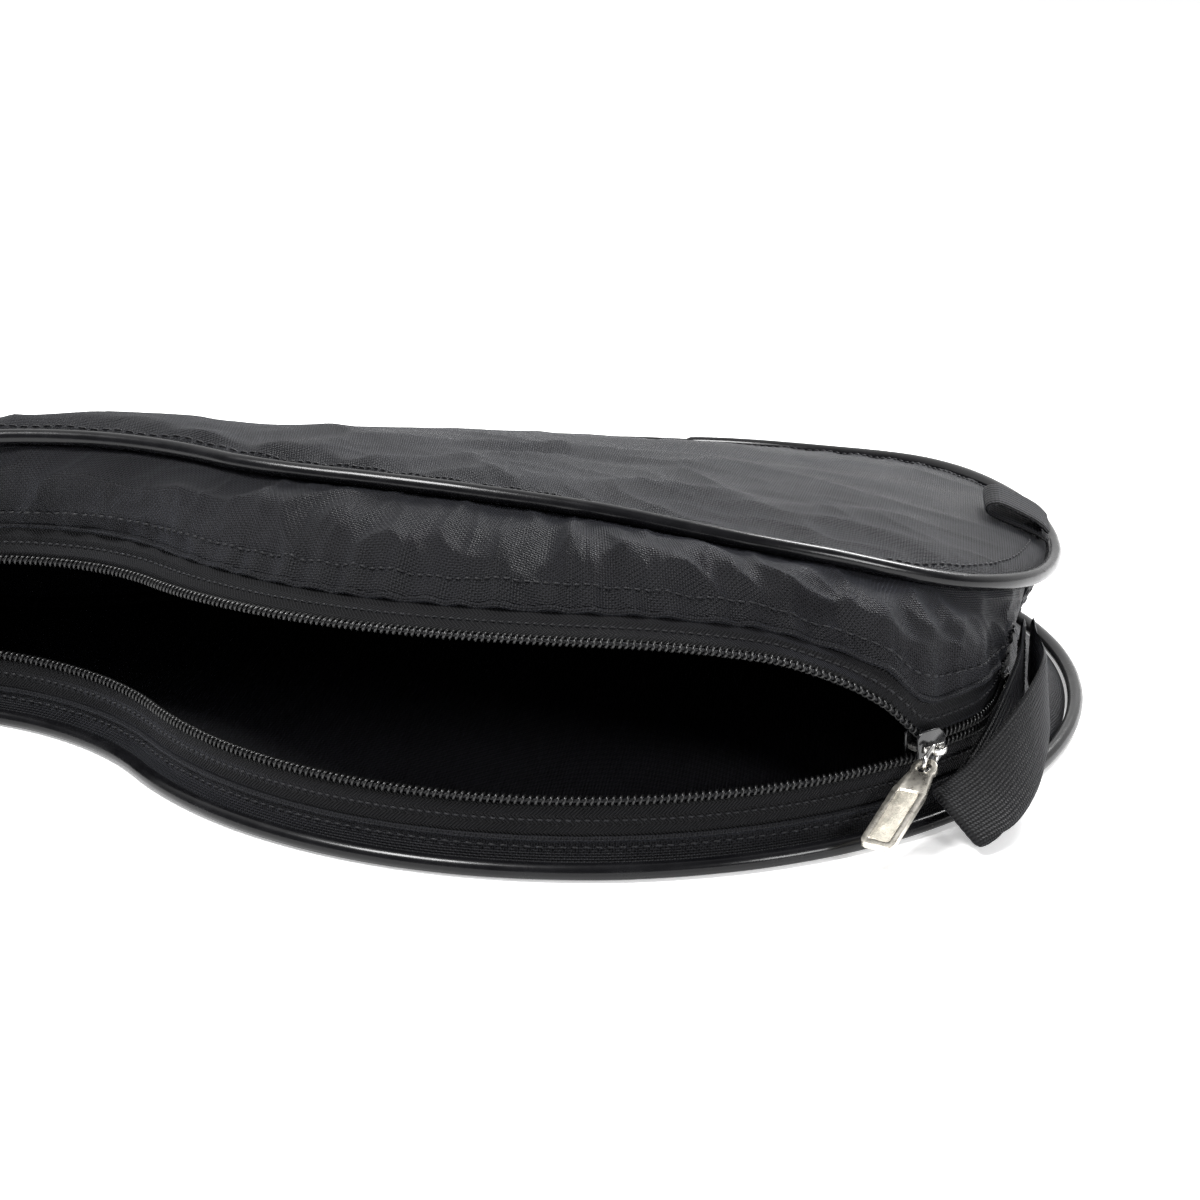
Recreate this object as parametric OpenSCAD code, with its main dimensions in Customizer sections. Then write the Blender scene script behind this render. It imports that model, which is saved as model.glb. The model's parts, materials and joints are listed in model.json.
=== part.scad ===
/* [Outline] */
// Radius of the round head of the case
head_r = 141; // [138:1:144]
// Distance from the case's middle to the centre of the head
head_x = 99; // [97:1:101]
// Half the width of the handle end
handle_w = 50; // [48:1:54]
// Radius of the concave neck between head and handle
neck_r = 100; // [95:1:110]
// Distance from the case's middle to the end of the handle
heel_x = 245; // [243:1:250]

/* [Fabric] */
// Thickness of the outer fabric
cloth = 1.2; // [1.0:0.1:1.3]
// Radius of the round piping in the seams
piping_r = 2.2; // [2.0:0.1:2.3]
// Width of the seam binding inside the case
binding_w = 8; // [6:1:9]

/* [Zip] */
// Visible width of each zip tape, from coil to fold
tape_w = 8.5; // [8:0.5:9]
// Thickness of the zip tape
tape_t = 0.6; // [0.5:0.1:0.7]
// Width of one coil
coil_w = 2.6; // [2.4:0.1:2.7]
// Height of one coil
coil_h = 2.4; // [2.2:0.1:2.5]
// Height of the closed zip above the ground
zip_z = 21; // [20:0.5:22]
// How far the zip lies inside the outline
zip_in = 4; // [3.5:0.5:4.5]
// Distance along the outline from the tip to the slider
slider_at = 110; // [108:1:112]
// Length of the pull tab
pull_l = 33; // [30:0.5:34]

/* [Webbing] */
// Width of the carry loop's webbing
carry_w = 20; // [18:1:21]
// Width of the hanging loop's webbing
hang_w = 20; // [16:1:22]
// Thickness of the webbing
webbing_t = 1.6; // [1.4:0.1:1.8]

/* [Hidden] */

gap = 0.25;              // air left between neighbouring soft pieces
seam_in = 1.2;           // how far the fabric starts inside the piping's line
lip_r = 1.6;             // how far the piping's centre lies outside the outline
zip_start = 44;          // outline distance from the tip to the seam where the zip begins
zip_end = 570;           // outline distance from the tip to the seam where the zip ends

// ---- plan outline: tip, head, neck, handle, heel ----
neck_y = handle_w + neck_r;
neck_x = head_x - sqrt(pow(head_r + neck_r, 2) - neck_y * neck_y);
head_turn = acos((neck_x - head_x) / (head_r + neck_r));
heel_c = -heel_x + handle_w;
arc_head = head_r * head_turn * PI / 180;
arc_neck = neck_r * (head_turn - 90) * PI / 180;
straight = neck_x - heel_c;
arc_heel = handle_w * PI / 2;
half = arc_head + arc_neck + straight + arc_heel;
turn = 2 * half;

// Point and outward normal [x, y, nx, ny] on the far half, a millimetres from the tip
function half_pt(a) =
    a < arc_head
        ? let (t = a / head_r * 180 / PI)
          [head_x + head_r * cos(t), head_r * sin(t), cos(t), sin(t)]
    : a < arc_head + arc_neck
        ? let (t = head_turn - 180 - (a - arc_head) / neck_r * 180 / PI)
          [neck_x + neck_r * cos(t), neck_y + neck_r * sin(t), -cos(t), -sin(t)]
    : a < arc_head + arc_neck + straight
        ? [neck_x - (a - arc_head - arc_neck), handle_w, 0, 1]
        : let (t = 90 + (a - arc_head - arc_neck - straight) / handle_w * 180 / PI)
          [heel_c + handle_w * cos(t), handle_w * sin(t), cos(t), sin(t)];

// The whole outline, s millimetres from the tip, first along the near side
function wrap(s) = s - turn * floor(s / turn);
function plan(s) =
    let (u = wrap(s), near = u <= half, p = half_pt(near ? u : turn - u), side = near ? -1 : 1)
    [p[0], side * p[1], p[2], side * p[3]];

// Point at outline station s, iz[0] inwards from the outline, at height iz[1]
function at(s, iz) =
    let (p = plan(s)) [p[0] - iz[0] * p[2], p[1] - iz[0] * p[3], iz[1]];

function unit(v) = v / norm(v);

// ---- smooth curve through a table of [position, value] ----
function seg(tab, x, i = 0) = i >= len(tab) - 2 || x < tab[i + 1][0] ? i : seg(tab, x, i + 1);
function slope(tab, i) =
    let (a = tab[max(i - 1, 0)], b = tab[min(i + 1, len(tab) - 1)]) (b[1] - a[1]) / (b[0] - a[0]);
function curve(tab, x) =
    let (i = seg(tab, x), w = tab[i + 1][0] - tab[i][0], t = (x - tab[i][0]) / w,
         m0 = slope(tab, i) * w, m1 = slope(tab, i + 1) * w)
    (2 * t * t * t - 3 * t * t + 1) * tab[i][1] + (t * t * t - 2 * t * t + t) * m0
    + (3 * t * t - 2 * t * t * t) * tab[i + 1][1] + (t * t * t - t * t) * m1;

// ---- how the open case stands: [outline distance, inset or height] ----
top_in = [[-200, 4], [-60, 8], [20, 8], [80, 12], [130, 28], [190, 46], [250, 50], [310, 42],
    [400, 10], [470, 3], [600, 2], [900, 3], [1100, 4]];
top_z = [[-200, 34], [-150, 37], [-100, 42], [-50, 44], [20, 45], [80, 55], [130, 67],
    [190, 76], [250, 80], [310, 81], [400, 80], [470, 70], [600, 46], [780, 38], [1000, 33],
    [1100, 34]];
lift_in = [[0, 0], [slider_at, 0], [slider_at + 15, 0], [slider_at + 45, 5],
    [slider_at + 110, 9], [300, 5], [390, 0], [480, 0], [700, 0]];
lift = [[0, 0], [slider_at - 3, 0], [slider_at, 0.8], [slider_at + 3, 2.4], [slider_at + 7, 6],
    [slider_at + 15, 13], [slider_at + 28, 21], [slider_at + 50, 29], [slider_at + 90, 34],
    [300, 34], [400, 26], [480, 15], [540, 4], [556, 0], [700, 0]];
tuck = 9;                // how much further in the zip lies beside its end seam
drop = 1.2;              // how far the lower coil sinks where the zip is open
up_bow = 6;              // how far the loose strip above the zip bulges outwards
notch_min = 8;           // how far the plain wall is bent inwards, least and most
notch_max = 12;

function ramp(a, b, x) = let (t = min(max((x - a) / (b - a), 0), 1)) t * t * (3 - 2 * t);
function sunk(s) = drop * ramp(slider_at - 3, slider_at + 1, s) * (1 - ramp(540, 556, s));
function around(s) = s > turn - 200 ? s - turn : s;
function top_edge(s) = [curve(top_in, around(s)) + seam_in, curve(top_z, around(s)) - gap];
function base_edge(s) = [seam_in, cloth + 4 * gap];
function zip_inset(s) = zip_in + tuck * (1 - ramp(48, 92, s));
function up_coil(s) = [zip_inset(s) + curve(lift_in, s), zip_z + curve(lift, s) + coil_w / 2];
function low_coil(s) = [zip_inset(s), zip_z - sunk(s) - coil_w / 2];
// Which side of the seam the top piping lies on: outwards, and upwards where the case is open
function pipe_side(s) =
    let (k = ramp(60, 140, around(s)) * (1 - ramp(400, 520, around(s))))
    unit([0.55 * k - 0.85, 0.5 + 0.45 * k]);
function towards(a, b, d) = a + (b - a) * d / norm(b - a);
function lean(s) =
    let (d = top_edge(s) - up_coil(s))
    d[0] / d[1] * ramp(slider_at + 6, slider_at + 30, s) * (1 - ramp(525, 550, s));
function up_fold(s) = up_coil(s) + unit([lean(s), 1]) * (tape_w + coil_w / 2);
function low_fold(s) = low_coil(s) - [0.8, tape_w + coil_w / 2];
function notch(s) = notch_min + (notch_max - notch_min) * ramp(200, 60, abs(around(s) - 40));

// ---- cross-sections, as points [inset, height] from top to bottom ----
function bowed(a, b, bow, steps) =
    let (d = (b - a) / norm(b - a), n = [d[1], -d[0]])
    [for (k = [0 : steps]) a + (b - a) * k / steps + n * bow * pow(sin(180 * k / steps), 1.2)];
function far_wall(s) = bowed(top_edge(s), base_edge(s), -notch(s), 8);
function up_wall(s) = bowed(top_edge(s), up_fold(s), up_bow * ramp(40, 140, s), 5);
function low_wall(s) =
    [low_fold(s) + [0, -gap], [seam_in + 0.8, 2 * piping_r], base_edge(s)];
function shifted(line, d) =
    [for (k = [0 : len(line) - 1])
        let (a = line[max(k - 1, 0)], b = line[min(k + 1, len(line) - 1)],
             t = (b - a) / norm(b - a))
        line[k] + d * [-t[1], t[0]]];

// ---- solids made from stations and cross-sections ----
// A sheet whose outer side follows prof(s) and whose thickness goes inwards
module band(stations, prof, thick) {
    n = len(stations);
    outer = [for (s = stations) prof(s)];
    m = len(outer[0]);
    inner = [for (line = outer) shifted(line, thick)];
    points = [for (i = [0 : n - 1], k = [0 : 2 * m - 1])
        at(stations[i], k < m ? outer[i][k] : inner[i][2 * m - 1 - k])];
    skin = [for (i = [0 : n - 2], k = [0 : 2 * m - 1])
        [i * 2 * m + k, i * 2 * m + (k + 1) % (2 * m),
         (i + 1) * 2 * m + (k + 1) % (2 * m), (i + 1) * 2 * m + k]];
    split = [for (f = skin) each [[f[0], f[1], f[2]], [f[0], f[2], f[3]]]];
    caps = [for (k = [0 : m - 2]) each [
        [k, 2 * m - 2 - k, k + 1], [k, 2 * m - 1 - k, 2 * m - 2 - k],
        [(n - 1) * 2 * m + k, (n - 1) * 2 * m + k + 1, (n - 1) * 2 * m + 2 * m - 2 - k],
        [(n - 1) * 2 * m + k, (n - 1) * 2 * m + 2 * m - 2 - k, (n - 1) * 2 * m + 2 * m - 1 - k]]];
    polyhedron(points, concat(split, caps));
}

// A skin over rings that all have the same number of points; a closed one has no ends
module loft(rings, closed = false) {
    n = len(rings);
    m = len(rings[0]);
    skin = [for (i = [0 : (closed ? n : n - 1) - 1], k = [0 : m - 1])
        let (j = (i + 1) % n, l = (k + 1) % m)
        each [[i * m + k, j * m + l, i * m + l], [i * m + k, j * m + k, j * m + l]]];
    ends = closed ? [] : [for (k = [1 : m - 2]) each [
        [0, k, k + 1], [(n - 1) * m, (n - 1) * m + k + 1, (n - 1) * m + k]]];
    polyhedron([for (r = rings) each r], concat(skin, ends));
}

// A closed round cord along points
module cord_ring(path, r, sides) {
    n = len(path);
    loft([for (i = [0 : n - 1])
        let (t = unit(path[(i + 1) % n] - path[(i + n - 1) % n]),
             side = unit(cross([0, 0, 1], t)), up = cross(t, side))
        [for (k = [0 : sides - 1])
            path[i] + r * (cos(360 * k / sides) * side + sin(360 * k / sides) * up)]], true);
}

// A flat tape along stations of [centre, direction of its width]
module ribbon(stations, width, thick) {
    n = len(stations);
    loft([for (i = [0 : n - 1])
        let (c = stations[i][0], w = unit(stations[i][1]) * width / 2,
             t = stations[min(i + 1, n - 1)][0] - stations[max(i - 1, 0)][0],
             f = unit(cross(t, w)) * thick / 2)
        [c - w - f, c + w - f, c + w + f, c - w + f]]);
}

function spaced(a, b, step) =
    let (n = ceil((b - a) / step)) [for (k = [0 : n]) a + (b - a) * k / n];

// ---- top panel: slack cloth that bulges above its seam ----
panel_in = 2;            // how far the panel's edge lies inside the seam
bulge = 11;              // how far the panel's middle stands above a flat sheet
function panel_row(s, cols) =
    let (a = at(s, top_edge(s) + [panel_in, 0]),
         b = at(turn - s, top_edge(turn - s) + [panel_in, 0]),
         high = bulge * pow(sin(180 * s / half), 0.7))
    [for (k = [0 : cols])
        let (v = 0.5 - 0.5 * cos(180 * k / cols))
        a + (b - a) * v + [0, 0, 2 * gap + high * sin(180 * pow(v, 0.75))]];

module top_panel() color("#2b2b2f") {
    cols = 14;
    ends = [7, 12, 20, 31];
    stations = concat(ends, spaced(45, half - 45, 19.5), [for (k = [3 : -1 : 0]) half - ends[k]]);
    n = len(stations);
    rows = [for (s = stations) panel_row(s, cols)];
    m = cols + 1;
    points = concat([for (r = rows) each r],
        [for (r = rows, p = r) p + [0, 0, cloth]]);
    low = [for (i = [0 : n - 2], k = [0 : cols - 1])
        each [[i * m + k, i * m + k + 1, (i + 1) * m + k + 1],
              [i * m + k, (i + 1) * m + k + 1, (i + 1) * m + k]]];
    high = [for (f = low) [f[0] + n * m, f[2] + n * m, f[1] + n * m]];
    edge = concat([for (k = [0 : cols - 1]) [k, k + 1]],
        [for (i = [0 : n - 2]) [i * m + cols, (i + 1) * m + cols]],
        [for (k = [cols : -1 : 1]) [(n - 1) * m + k, (n - 1) * m + k - 1]],
        [for (i = [n - 1 : -1 : 1]) [i * m, (i - 1) * m]]);
    walls = [for (e = edge) each [[e[0], e[0] + n * m, e[1] + n * m],
        [e[0], e[1] + n * m, e[1]]]];
    polyhedron(points, concat(low, high, walls));
}

module base_panel() color("#232327")
    linear_extrude(cloth)
        polygon([for (s = spaced(0, turn, 9)) if (s < turn) [for (c = [0, 1])
            plan(s)[c] - seam_in * plan(s)[c + 2]]]);

module far_gusset() color("#2b2b2f")
    band(spaced(zip_end + 0.5, turn + zip_start - 0.5, 15), function(s) far_wall(s), cloth);

module upper_zip_gusset() color("#2b2b2f")
    band(spaced(zip_start + 0.5, zip_end - 0.5, 9), function(s) up_wall(s), cloth);

module lower_zip_gusset() color("#2b2b2f")
    band(spaced(zip_start + 0.5, zip_end - 0.5, 10), function(s) low_wall(s), cloth);

// ---- piping and inner binding ----
lap = [for (s = spaced(0, turn, 10)) if (s < turn - 1) s];
module base_piping() color("#0d0d10")
    cord_ring([for (s = lap) at(s, [-lip_r, piping_r])], piping_r, 8);

module top_piping() color("#0d0d10")
    cord_ring([for (s = lap) at(s, top_edge(s) + pipe_side(s) * (piping_r + gap))],
        piping_r, 8);

module base_binding() color("#19191c")
    band(spaced(6, turn - 6, 15), function(s)
        [[seam_in + 5, cloth + gap + 1], [seam_in + 5 + binding_w, cloth + gap + 1]], -0.9);

function inner_strip(line, d, len) =
    let (w = shifted(line, d)) [w[0] + [0, -1.5], towards(w[0], w[1], len / 2) + [0.6, 0],
        towards(w[0], w[1], len) + [1.4, 0]];
module top_binding() color("#19191c")
    band(spaced(zip_end + 6, turn + zip_start - 6, 15),
        function(s) inner_strip(far_wall(s), cloth + 4 * gap, binding_w), 0.9);

// ---- overlapped fabric ends where the plain wall meets the zip wall ----
module seam_tab(s, prof) color("#34343a")
    band([s, s + 4, s + 8], prof, 0.8);
function over(line, d) = shifted([for (k = [1 : len(line) - 2]) line[k]], -d);
module tip_seam_tab() seam_tab(zip_start - 9, function(s) over(far_wall(s), 0.8 + gap));
module heel_seam_tab() seam_tab(zip_end + 1, function(s) over(far_wall(s), 0.8 + gap));

// ---- zip: tapes, coils, stops ----
function up_tape(s) = let (c = up_coil(s), f = up_fold(s))
    shifted([towards(f, c, 0.2), towards(c, f, coil_w / 2 + 0.1)], -tape_t / 2);
function low_tape(s) = let (c = low_coil(s), f = low_fold(s))
    shifted([towards(c, f, coil_w / 2 + 0.1), towards(f, c, 0.2)], -tape_t / 2);
mouth = [for (d = [-6, -3, 0, 1.5, 3, 5, 7, 10, 14, 19, 25, 32, 40, 50]) slider_at + d];
function zip_run(a, b) = concat(spaced(a, slider_at - 10, 10), mouth,
    spaced(slider_at + 60, 530, 12), spaced(536, b, 6));
zip_stations = zip_run(zip_start + 1, zip_end - 1);
module upper_zip_tape() color("#1c1c1f") band(zip_stations, function(s) up_tape(s), tape_t);
module lower_zip_tape() color("#1c1c1f") band(zip_stations, function(s) low_tape(s), tape_t);

// The coil's outer face, from its upper to its lower edge
function coil_face(c, f) =
    let (d = unit(f - c), up = d[1] > 0 ? d : -d, out = [-up[1], up[0]] * coil_h / 2,
         reach = coil_w / 2 - gap)
    [c + up * reach + out, c - up * reach + out];
stop_l = 4;              // length of each zip stop along the zip
tip_stop_at = zip_start + 12;
heel_stop_at = zip_end - 12;
coil_stations = zip_run(tip_stop_at + stop_l / 2 + gap, heel_stop_at - stop_l / 2 - gap);
module upper_zip_coil() color("#0f0f11")
    band(coil_stations, function(s) coil_face(up_coil(s), up_fold(s)), coil_h);
module lower_zip_coil() color("#0f0f11")
    band(coil_stations, function(s) coil_face(low_coil(s), low_fold(s)), coil_h);

module zip_stop(s) color("#8d8f93")
    translate(at(s, [zip_inset(s), zip_z]))
        rotate([0, 0, atan2(plan(s)[3], plan(s)[2])])
            cube([3.2, stop_l, 2 * coil_w], center = true);
module zip_tip_stop() zip_stop(tip_stop_at);
module zip_heel_stop() zip_stop(heel_stop_at);

// ---- slider: x points out of the case, y along the zip towards the tip ----
zip_r = head_r - zip_in;
slider_turn = slider_at / head_r * 180 / PI;
plate_in = 1.8;          // from the zip's middle to each plate
plate_t = 0.9;
rim_in = 1;              // from the zip's middle to the rims that hold the lower coil
plate_h = 4.9;           // half the plates' height
plate_l = 5;             // half the plates' length
bridge_x = plate_in + plate_t + 1.75;
bridge_r = 2.6;
bridge_bore = 1.7;
bridge_w = 1.7;
wire_r = 0.6;
link_r = 2.6;            // radius of the link's round ends
link_l = 8;              // from one end of the link to the other, on the wire's middle
link_yaw = 71;           // how far the pull points back along the zip
link_droop = 22;         // how far the pull hangs below level
tab_w = 9;
tab_t = 1.8;
tab_bore = 1.9;
tab_top = 3.4;           // from the hole's centre to the tab's upper end

module on_slider()
    translate([head_x, 0, zip_z])
        rotate([0, 0, -slider_turn])
            translate([zip_r, 0, 0])
                children();
module on_link()
    on_slider()
        translate([bridge_x, 0, 0])
            rotate([0, 0, -link_yaw])
                rotate([0, link_droop, 0])
                    children();

module slider_body() color("#1a1a1c") on_slider() {
    for (side = [-1, 1])
        translate([side * (plate_in + plate_t / 2), 0, 0])
            rotate([90, 0, 90])
                linear_extrude(plate_t, center = true)
                    polygon([[-plate_l, plate_h - 1.5], [-plate_l + 1.5, plate_h],
                        [plate_l - 2.5, plate_h], [plate_l, plate_h - 2.5],
                        [plate_l, 2.5 - plate_h], [plate_l - 2.5, -plate_h],
                        [1.5 - plate_l, -plate_h], [-plate_l, 1.5 - plate_h]]);
    translate([-plate_in, 0.6 - plate_l, -0.8])
        cube([2 * plate_in, 2.2, 1.6]);
    for (side = [-1, 1])
        translate([side * (plate_in + rim_in) / 2, -0.5, 0.35 - plate_h])
            cube([plate_in - rim_in, 2 * plate_l - 4, 0.7], center = true);
}

module slider_bridge() color("#c9cbcf") on_slider()
    difference() {
        union() {
            translate([bridge_x, 0, 0])
                cylinder(r = bridge_r, h = bridge_w, center = true, $fn = 48);
            translate([plate_in + plate_t, -3.6, -bridge_w / 2])
                cube([1, 7.2, bridge_w]);
        }
        translate([bridge_x, 0, 0])
            cylinder(r = bridge_bore, h = 2 * bridge_w, center = true, $fn = 48);
        translate([plate_in + plate_t - 5, -5, -5])
            cube([5, 10, 10]);
    }

module pull_link() color("#c9cbcf") on_link()
    rotate([90, 0, 0]) {
        for (side = [0, 1])
            translate([side ? link_l - link_r : link_r, 0, 0])
                rotate([0, 0, side ? -90 : 90])
                    rotate_extrude(angle = 180, $fn = 48)
                        translate([link_r, 0])
                            circle(wire_r, $fn = 20);
        for (side = [-1, 1])
            translate([link_r, side * link_r, 0])
                rotate([0, 90, 0])
                    cylinder(r = wire_r, h = link_l - 2 * link_r, $fn = 20);
    }

module pull_tab() color("#b9b3a2") on_link()
    translate([link_l, 0, 0])
        difference() {
            translate([0, 0, -tab_t / 2])
                linear_extrude(tab_t)
                    hull() {
                        circle(tab_top, $fn = 32);
                        translate([9, -tab_w / 2])
                            square([pull_l - tab_top - 9, tab_w]);
                    }
            cylinder(r = tab_bore, h = 2 * tab_t, center = true, $fn = 48);
            translate([9, 1.6 - tab_w / 2, tab_t / 2 - 0.35])
                cube([pull_l - tab_top - 11, tab_w - 3.2, 1]);
        }

// ---- webbing loops ----
// Carry loop: [outline distance, outwards, height, tilt of its width]
carry_path = [[45, -10, 27, 0], [55, -7.5, 27, 0], [66, -3, 25, 6], [78, 1, 20, 16],
    [90, 5.5, 14, 32], [102, 9.5, 8.5, 50], [110, 11, 6.4, 60], [114.5, 12.4, 7.4, 61],
    [110, 13, 9, 60], [102, 13, 11.5, 50], [90, 11.5, 17, 32], [78, 8.5, 22, 16],
    [66, 4, 26, 6], [55, -3.5, 27.5, 1], [45, -7.4, 27.5, 0]];
module carry_loop() color("#111113")
    ribbon([for (q = carry_path)
        let (p = plan(q[0]))
        [at(q[0], [-q[1], q[2]]),
         [-sin(q[3]) * p[2], -sin(q[3]) * p[3], cos(q[3])]]], carry_w, webbing_t);

// Hanging loop: [inset from the tip, height above the seam]
hang_path = [[9, 5], [12, 6.8], [18, 9.4], [23, 11.4], [26, 13.2], [26, 15], [23, 15.6],
    [18, 13.6], [12, 10.4], [9, 7.6]];
module hang_loop() color("#111113")
    ribbon([for (q = hang_path) [at(0, [q[0], curve(top_z, 0) + q[1]]), [0, 1, 0]]],
        hang_w, webbing_t);

base_panel();
top_panel();
far_gusset();
upper_zip_gusset();
lower_zip_gusset();
base_piping();
top_piping();
base_binding();
top_binding();
tip_seam_tab();
heel_seam_tab();
upper_zip_tape();
lower_zip_tape();
upper_zip_coil();
lower_zip_coil();
zip_tip_stop();
zip_heel_stop();
slider_body();
slider_bridge();
pull_link();
pull_tab();
carry_loop();
hang_loop();
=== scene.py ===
"""A soft paddle case lying flat with its zip open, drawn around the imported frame."""
import json
import math

import bmesh
import bpy
from mathutils import Matrix, Vector, noise
from mathutils.bvhtree import BVHTree

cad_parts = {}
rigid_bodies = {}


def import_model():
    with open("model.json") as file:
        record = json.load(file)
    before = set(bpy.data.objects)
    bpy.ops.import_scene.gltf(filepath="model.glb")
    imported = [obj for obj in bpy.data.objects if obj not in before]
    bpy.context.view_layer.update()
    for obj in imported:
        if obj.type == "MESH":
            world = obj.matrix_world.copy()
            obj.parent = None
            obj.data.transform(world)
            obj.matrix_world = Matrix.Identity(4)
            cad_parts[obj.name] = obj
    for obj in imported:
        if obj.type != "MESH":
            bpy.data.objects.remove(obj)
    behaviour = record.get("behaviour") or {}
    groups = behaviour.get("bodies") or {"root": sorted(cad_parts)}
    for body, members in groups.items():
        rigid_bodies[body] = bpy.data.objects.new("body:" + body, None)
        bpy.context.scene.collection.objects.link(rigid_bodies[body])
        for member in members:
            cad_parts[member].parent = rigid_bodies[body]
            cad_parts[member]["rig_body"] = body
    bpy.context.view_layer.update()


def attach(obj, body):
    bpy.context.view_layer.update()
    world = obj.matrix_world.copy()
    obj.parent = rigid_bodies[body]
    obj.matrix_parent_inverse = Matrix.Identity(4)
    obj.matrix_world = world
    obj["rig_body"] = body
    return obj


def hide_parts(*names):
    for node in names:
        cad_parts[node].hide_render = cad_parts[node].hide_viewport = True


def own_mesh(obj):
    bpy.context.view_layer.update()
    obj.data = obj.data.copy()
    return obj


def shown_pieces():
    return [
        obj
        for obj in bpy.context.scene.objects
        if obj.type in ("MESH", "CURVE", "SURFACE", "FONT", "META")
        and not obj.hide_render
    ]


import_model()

# ---- sizes of the case in millimetres, the same as in the frame ----
MM = 0.001
HEAD_R, HEAD_X, HANDLE_W, NECK_R, HEEL_X = 141.0, 99.0, 50.0, 100.0, 245.0
CLOTH, PIPING_R, TAPE_W, COIL_W, COIL_H = 1.2, 2.2, 8.5, 2.6, 2.4
COIL_EDGE = 1.0  # where the tape comes out from under the coil
TAPE_PAST = 3.0  # how far the tape runs on behind the fold
HANG_ROOT_X = 222  # where the hanging loop meets the top panel
ZIP_Z, ZIP_IN, SLIDER_AT, ZIP_START, ZIP_END = 21.0, 4.0, 110.0, 44.0, 570.0
GAP, SEAM_IN, LIP_R, BULGE, TUCK, UP_BOW, DROP = 0.25, 1.2, 1.6, 11.0, 9.0, 6.0, 1.2
TOP_IN = [(-200, 4), (-60, 8), (20, 8), (80, 12), (130, 28), (190, 46), (250, 50), (310, 42),
          (400, 10), (470, 3), (600, 2), (900, 3), (1100, 4)]
TOP_Z = [(-200, 34), (-150, 37), (-100, 42), (-50, 44), (20, 45), (80, 55), (130, 67),
         (190, 76), (250, 80), (310, 81), (400, 80), (470, 70), (600, 46), (780, 38),
         (1000, 33), (1100, 34)]
LIFT_IN = [(0, 0), (110, 0), (125, 0), (155, 5), (220, 9), (300, 5), (390, 0), (480, 0), (700, 0)]
LIFT = [(0, 0), (107, 0), (110, 0.8), (113, 2.4), (117, 6), (125, 13), (138, 21), (160, 29),
        (200, 34), (300, 34), (400, 26), (480, 15), (540, 4), (556, 0), (700, 0)]

# ---- outline of the case, measured along its edge from the tip ----
NECK_Y = HANDLE_W + NECK_R
NECK_X = HEAD_X - math.sqrt((HEAD_R + NECK_R) ** 2 - NECK_Y ** 2)
HEAD_TURN = math.acos((NECK_X - HEAD_X) / (HEAD_R + NECK_R))
HEEL_C = -HEEL_X + HANDLE_W
ARC_HEAD = HEAD_R * HEAD_TURN
ARC_NECK = NECK_R * (HEAD_TURN - math.pi / 2)
STRAIGHT = NECK_X - HEEL_C
HALF = ARC_HEAD + ARC_NECK + STRAIGHT + HANDLE_W * math.pi / 2
TURN = 2 * HALF


def half_point(a):
    """Point and outward normal on the far half of the outline, a from the tip."""
    if a < ARC_HEAD:
        t = a / HEAD_R
        return HEAD_X + HEAD_R * math.cos(t), HEAD_R * math.sin(t), math.cos(t), math.sin(t)
    a -= ARC_HEAD
    if a < ARC_NECK:
        t = HEAD_TURN - math.pi - a / NECK_R
        return NECK_X + NECK_R * math.cos(t), NECK_Y + NECK_R * math.sin(t), -math.cos(t), -math.sin(t)
    a -= ARC_NECK
    if a < STRAIGHT:
        return NECK_X - a, HANDLE_W, 0.0, 1.0
    t = math.pi / 2 + (a - STRAIGHT) / HANDLE_W
    return HEEL_C + HANDLE_W * math.cos(t), HANDLE_W * math.sin(t), math.cos(t), math.sin(t)


def plan(s):
    u = s % TURN
    side = -1 if u <= HALF else 1
    x, y, nx, ny = half_point(u if u <= HALF else TURN - u)
    return x, side * y, nx, side * ny


def at(s, inset, z):
    x, y, nx, ny = plan(s)
    return Vector((x - inset * nx, y - inset * ny, z))


def outward(s):
    """The level direction out of the case."""
    return Vector((*plan(s)[2:], 0))


def curve(tab, x):
    """Smooth curve through a table of (position, value)."""
    i = 0
    while i < len(tab) - 2 and x >= tab[i + 1][0]:
        i += 1

    def slope(k):
        a, b = tab[max(k - 1, 0)], tab[min(k + 1, len(tab) - 1)]
        return (b[1] - a[1]) / (b[0] - a[0])

    w = tab[i + 1][0] - tab[i][0]
    t = (x - tab[i][0]) / w
    return ((2 * t ** 3 - 3 * t * t + 1) * tab[i][1] + (t ** 3 - 2 * t * t + t) * slope(i) * w
            + (3 * t * t - 2 * t ** 3) * tab[i + 1][1] + (t ** 3 - t * t) * slope(i + 1) * w)


def ramp(a, b, x):
    t = min(max((x - a) / (b - a), 0.0), 1.0)
    return t * t * (3 - 2 * t)


def bump(x, middle, width):
    return math.exp(-((x - middle) / width) ** 2)


def around(s):
    s %= TURN
    return s - TURN if s > TURN - 200 else s


def top_edge(s):
    a = around(s)
    return Vector((curve(TOP_IN, a) + SEAM_IN, curve(TOP_Z, a) - GAP))


def base_edge():
    return Vector((SEAM_IN, CLOTH))


def zip_inset(s):
    return ZIP_IN + TUCK * (1 - ramp(48, 92, s))


def up_coil(s):
    return Vector((zip_inset(s) + curve(LIFT_IN, s), ZIP_Z + curve(LIFT, s) + COIL_W / 2))


def low_coil(s):
    sunk = DROP * ramp(SLIDER_AT - 3, SLIDER_AT + 1, s) * (1 - ramp(540, 556, s))
    return Vector((zip_inset(s), ZIP_Z - sunk - COIL_W / 2))


def up_fold(s):
    d = top_edge(s) - up_coil(s)
    lean = d[0] / d[1] * ramp(SLIDER_AT + 6, SLIDER_AT + 30, s) * (1 - ramp(525, 550, s))
    return up_coil(s) + Vector((lean, 1)).normalized() * (TAPE_W + COIL_W / 2)


def low_fold(s):
    return low_coil(s) - Vector((0.8, TAPE_W + COIL_W / 2))


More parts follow.
